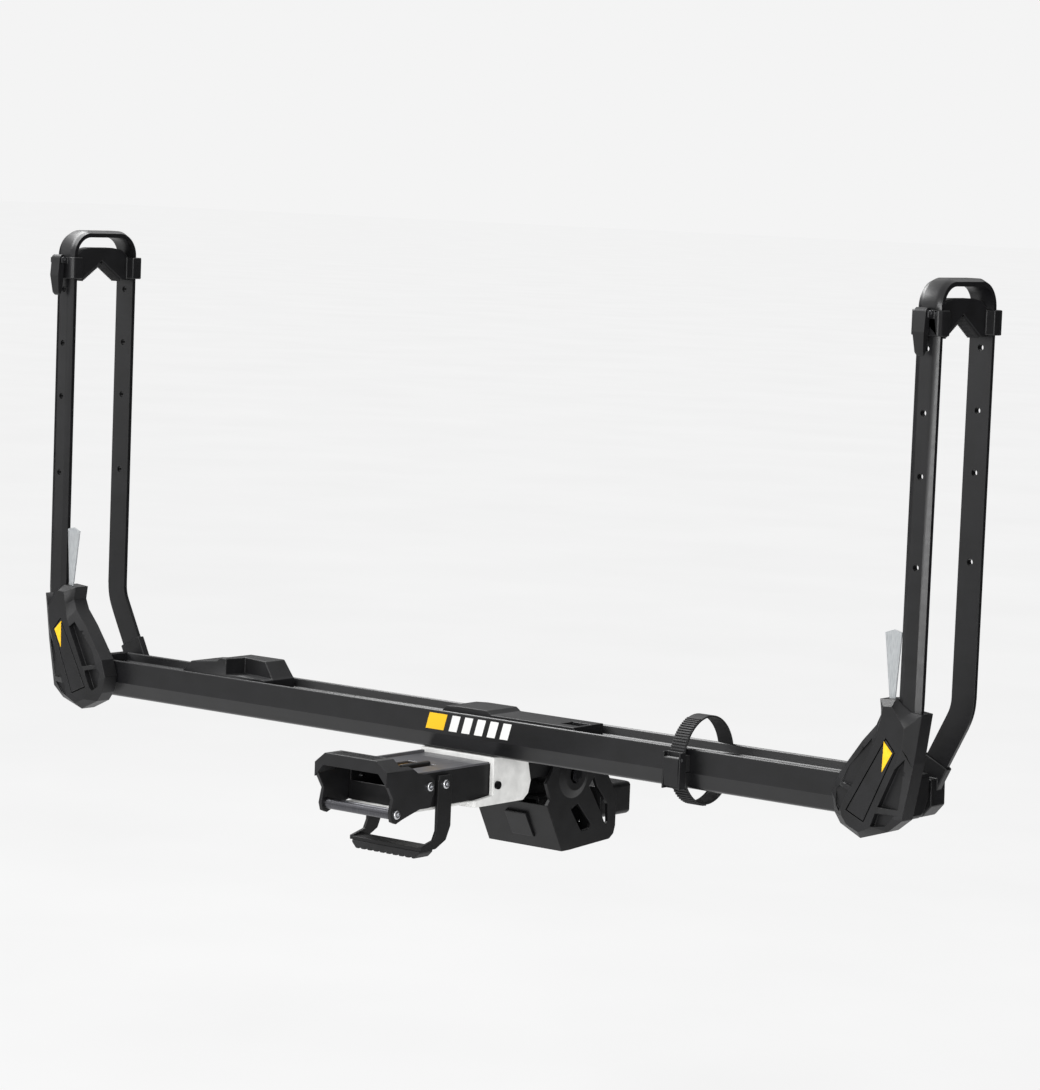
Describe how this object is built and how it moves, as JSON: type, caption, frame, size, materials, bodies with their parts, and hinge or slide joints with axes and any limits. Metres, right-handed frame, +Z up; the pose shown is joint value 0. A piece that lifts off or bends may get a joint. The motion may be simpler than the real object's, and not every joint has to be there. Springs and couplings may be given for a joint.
{
  "type": "hitch mounted bike rack",
  "caption": "Tilting wheel-clamp bike rack on a hitch stinger: trough beam, two folding U-shaped arms with sliding yokes, release handle, foot loop and wheel strap.",
  "frame": {"origin": "centre of the hitch pin hole through the stinger", "axes": "+X along the tray beam, to the right seen from behind the car; +Y towards the vehicle; +Z up"},
  "size_m": [1.6546, 0.638, 0.894],
  "materials": {
    "black_powder_coat": "fine matte powder coat",
    "black_anodised": "satin black anodised",
    "black_moulding": "textured moulded",
    "yellow_insert": "gloss yellow",
    "white_casting": "white powder coat on a sand-cast skin",
    "grey_lid": "satin grey",
    "zinc_gold": "yellow passivated zinc",
    "roller_grey": "brushed dark grey",
    "rubber": "matte rubber",
    "clear_blade": "frosted clear plastic",
    "bright_steel": "zinc plated",
    "black_screws": "black oxide",
    "bronze_bush": "sintered bronze"
  },
  "bodies": {
    "hitch_mount": {"mount_bracket": "black_powder_coat", "stinger_supports": "black_powder_coat", "stinger": "black_powder_coat", "stinger_plug": "black_moulding", "front_plug": "black_moulding", "index_cam": "black_powder_coat", "pivot_bolt": "black_screws", "pivot_nut": "black_screws", "pivot_washers": "bright_steel"},
    "tray": {"beam": "black_anodised", "end_caps": "black_moulding", "wheel_block": "black_moulding", "centre_cover": "black_moulding", "spine_channel": "black_powder_coat", "spine_casting": "white_casting", "box_lid": "grey_lid", "latch_guide": "bright_steel", "latch_spring": "bright_steel", "lever_screws": "bright_steel", "casting_screws": "black_screws", "pivot_bushes": "bronze_bush", "arm_axles": "bright_steel", "ratchet_plates": "bright_steel"},
    "release_handle": {"handle_frame": "black_moulding", "handle_roller": "roller_grey", "roller_screws": "bright_steel"},
    "latch": {"latch_bolt": "bright_steel", "latch_slide": "zinc_gold", "top_slider": "black_moulding"},
    "foot_loop": {"foot_loop": "black_powder_coat", "foot_tread": "rubber"},
    "strap": {"strap_band": "rubber", "strap_shoe": "rubber", "buckle_base": "black_moulding", "buckle_pin": "bright_steel"},
    "buckle_lever": {"buckle_lever": "black_moulding"},
    "arm_left": {"arm_frame_left": "black_anodised", "front_pod_left": "black_moulding", "rear_pod_left": "black_moulding", "arm_fin_left": "clear_blade", "axle_bushes_left": "bronze_bush"},
    "yoke_left": {"yoke_left": "black_moulding", "yoke_pads_left": "rubber", "lever_pin_left": "bright_steel"},
    "yoke_lever_left": {"yoke_lever_left": "black_moulding"},
    "paddle_left": {"paddle_left": "black_moulding", "paddle_insert_left": "yellow_insert"},
    "pawl_left": {"pawl_left": "bright_steel"},
    "arm_right": {"arm_frame_right": "black_anodised", "front_pod_right": "black_moulding", "rear_pod_right": "black_moulding", "arm_fin_right": "clear_blade", "axle_bushes_right": "bronze_bush"},
    "yoke_right": {"yoke_right": "black_moulding", "yoke_pads_right": "rubber", "lever_pin_right": "bright_steel"},
    "yoke_lever_right": {"yoke_lever_right": "black_moulding"},
    "paddle_right": {"paddle_right": "black_moulding", "paddle_insert_right": "yellow_insert"},
    "pawl_right": {"pawl_right": "bright_steel"}
  },
  "joints": [
    {"name": "tilt", "type": "hinge", "parent": "hitch_mount", "child": "tray", "pos_m": [0, -0.158, 0.0625], "axis": [1, 0, 0], "range_deg": [-90, 25]},
    {"name": "handle_pull", "type": "hinge", "parent": "tray", "child": "release_handle", "pos_m": [0, -0.494, 0.0785], "axis": [-1, 0, 0], "range_deg": [0, 18], "stiffness_Nm_per_rad": 3, "springref_deg": -17.19},
    {"name": "latch_slide", "type": "slide", "parent": "tray", "child": "latch", "axis": [0, -1, 0], "range_m": [0, 0.012]},
    {"name": "foot_swing", "type": "hinge", "parent": "tray", "child": "foot_loop", "pos_m": [0, -0.458, 0.0785], "axis": [1, 0, 0], "range_deg": [0, 20], "stiffness_Nm_per_rad": 3, "springref_deg": -11.46},
    {"name": "strap_slide", "type": "slide", "parent": "tray", "child": "strap", "axis": [1, 0, 0], "range_m": [-0.02, 0.06]},
    {"name": "buckle_open", "type": "hinge", "parent": "strap", "child": "buckle_lever", "pos_m": [0.418, -0.387, 0.1525], "axis": [-1, 0, 0], "range_deg": [0, 100], "stiffness_Nm_per_rad": 0.05, "springref_deg": -11.46},
    {"name": "arm_fold_left", "type": "hinge", "parent": "tray", "child": "arm_left", "pos_m": [-0.742, -0.318, 0.1325], "axis": [0, 1, 0], "range_deg": [-30, 90]},
    {"name": "yoke_slide_left", "type": "slide", "parent": "arm_left", "child": "yoke_left", "axis": [0, 0, 1], "range_m": [-0.26, 0]},
    {"name": "yoke_lever_left", "type": "hinge", "parent": "yoke_left", "child": "yoke_lever_left", "pos_m": [-0.803, -0.4045, 0.7965], "axis": [-1, 0, 0], "range_deg": [0, 35], "stiffness_Nm_per_rad": 0.05, "springref_deg": -11.46},
    {"name": "paddle_left", "type": "hinge", "parent": "arm_left", "child": "paddle_left", "pos_m": [-0.783, -0.4012, 0.2149], "axis": [-0.8949, 0, -0.4462], "range_deg": [0, 20], "stiffness_Nm_per_rad": 0.1, "springref_deg": -11.46},
    {"name": "pawl_left", "type": "slide", "parent": "arm_left", "child": "pawl_left", "axis": [-0.4462, 0, 0.8949], "range_m": [0, 0.005]},
    {"name": "arm_fold_right", "type": "hinge", "parent": "tray", "child": "arm_right", "pos_m": [0.742, -0.318, 0.1325], "axis": [0, -1, 0], "range_deg": [-30, 90]},
    {"name": "yoke_slide_right", "type": "slide", "parent": "arm_right", "child": "yoke_right", "axis": [0, 0, 1], "range_m": [-0.26, 0]},
    {"name": "yoke_lever_right", "type": "hinge", "parent": "yoke_right", "child": "yoke_lever_right", "pos_m": [0.803, -0.4045, 0.7965], "axis": [-1, 0, 0], "range_deg": [0, 35], "stiffness_Nm_per_rad": 0.05, "springref_deg": -11.46},
    {"name": "paddle_right", "type": "hinge", "parent": "arm_right", "child": "paddle_right", "pos_m": [0.783, -0.4012, 0.2149], "axis": [-0.8949, 0, 0.4462], "range_deg": [0, 20], "stiffness_Nm_per_rad": 0.1, "springref_deg": -11.46},
    {"name": "pawl_right", "type": "slide", "parent": "arm_right", "child": "pawl_right", "axis": [0.4462, 0, 0.8949], "range_m": [0, 0.005]}
  ],
  "couplings": [
    {"joint": "latch_slide", "follows": "handle_pull", "m_per_rad": 0.038},
    {"joint": "pawl_left", "follows": "paddle_left", "m_per_rad": 0.0143},
    {"joint": "pawl_right", "follows": "paddle_right", "m_per_rad": 0.0143}
  ]
}
